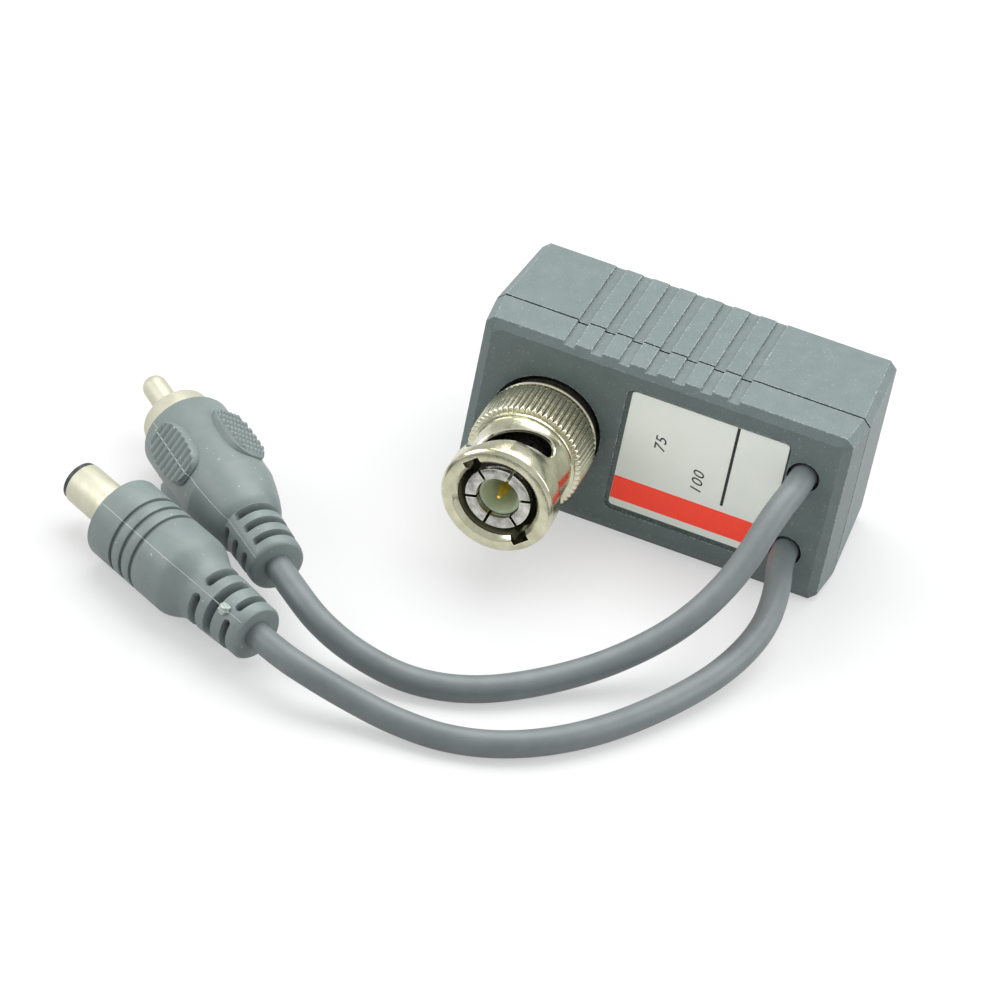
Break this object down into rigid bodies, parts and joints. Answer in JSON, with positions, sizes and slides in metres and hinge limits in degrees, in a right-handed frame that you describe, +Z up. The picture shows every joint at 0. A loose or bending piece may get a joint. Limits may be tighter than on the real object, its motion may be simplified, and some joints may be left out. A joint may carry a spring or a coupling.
{
  "type": "cctv video balun",
  "caption": "Passive video, audio and power balun: a small grey housing with a bayonet plug, two short plug leads and a modular jack.",
  "frame": {"origin": "middle of the footprint of the housing and the bayonet plug, on the surface the housing stands on", "axes": "+X along the housing's long side, to the right when the label face is seen; +Y from the label face to the jack; +Z up"},
  "size_m": [0.088, 0.0772, 0.0248],
  "materials": {
    "housing_plastic": "matte",
    "plug_plastic": "satin",
    "lead_jacket": "satin",
    "label_film": "satin",
    "nickel": "polished",
    "gold": "polished",
    "spring_steel": "satin",
    "black_rubber": "matte",
    "black_plastic": "satin",
    "white_plastic": "satin",
    "board_laminate": "satin",
    "ferrite": "matte",
    "copper_wire": "polished"
  },
  "bodies": {
    "housing": {"front_shell": "housing_plastic", "rear_shell": "housing_plastic", "label_sheet": "label_film", "circuit_board": "board_laminate", "plug_shell": "nickel", "plug_insulator": "white_plastic", "centre_pin": "gold", "seat_washer": "black_rubber", "face_gasket": "black_rubber", "retaining_clip": "spring_steel", "shank_nut": "nickel", "wave_spring": "spring_steel", "jack_housing": "black_plastic", "jack_contacts": "gold", "balun_core": "ferrite", "balun_windings": "copper_wire", "chip_resistors": "black_plastic", "chip_capacitors": "white_plastic", "audio_lead_stopper": "lead_jacket", "power_lead_stopper": "lead_jacket", "audio_wires": "copper_wire", "power_wires": "copper_wire", "phono_plug_body": "plug_plastic", "phono_shell": "nickel", "phono_insulator": "black_plastic", "phono_pin": "nickel", "power_plug_body": "plug_plastic", "power_barrel": "nickel", "power_insulator": "black_plastic", "power_contact": "nickel", "audio_lead": "lead_jacket", "power_lead": "lead_jacket"},
    "thrust_ring": {"thrust_washer": "spring_steel"},
    "sleeve": {"coupling_sleeve": "nickel"}
  },
  "joints": [
    {"name": "sleeve_push", "type": "slide", "parent": "housing", "child": "thrust_ring", "axis": [0, -1, 0], "range_m": [0, 0.0007], "stiffness_N_per_m": 2000, "springref_m": -0.0005, "deforming": ["wave_spring"]},
    {"name": "sleeve_turn", "type": "hinge", "parent": "thrust_ring", "child": "sleeve", "pos_m": [-0.014, -0.0101, 0.012], "axis": [0, -1, 0], "continuous": true}
  ]
}
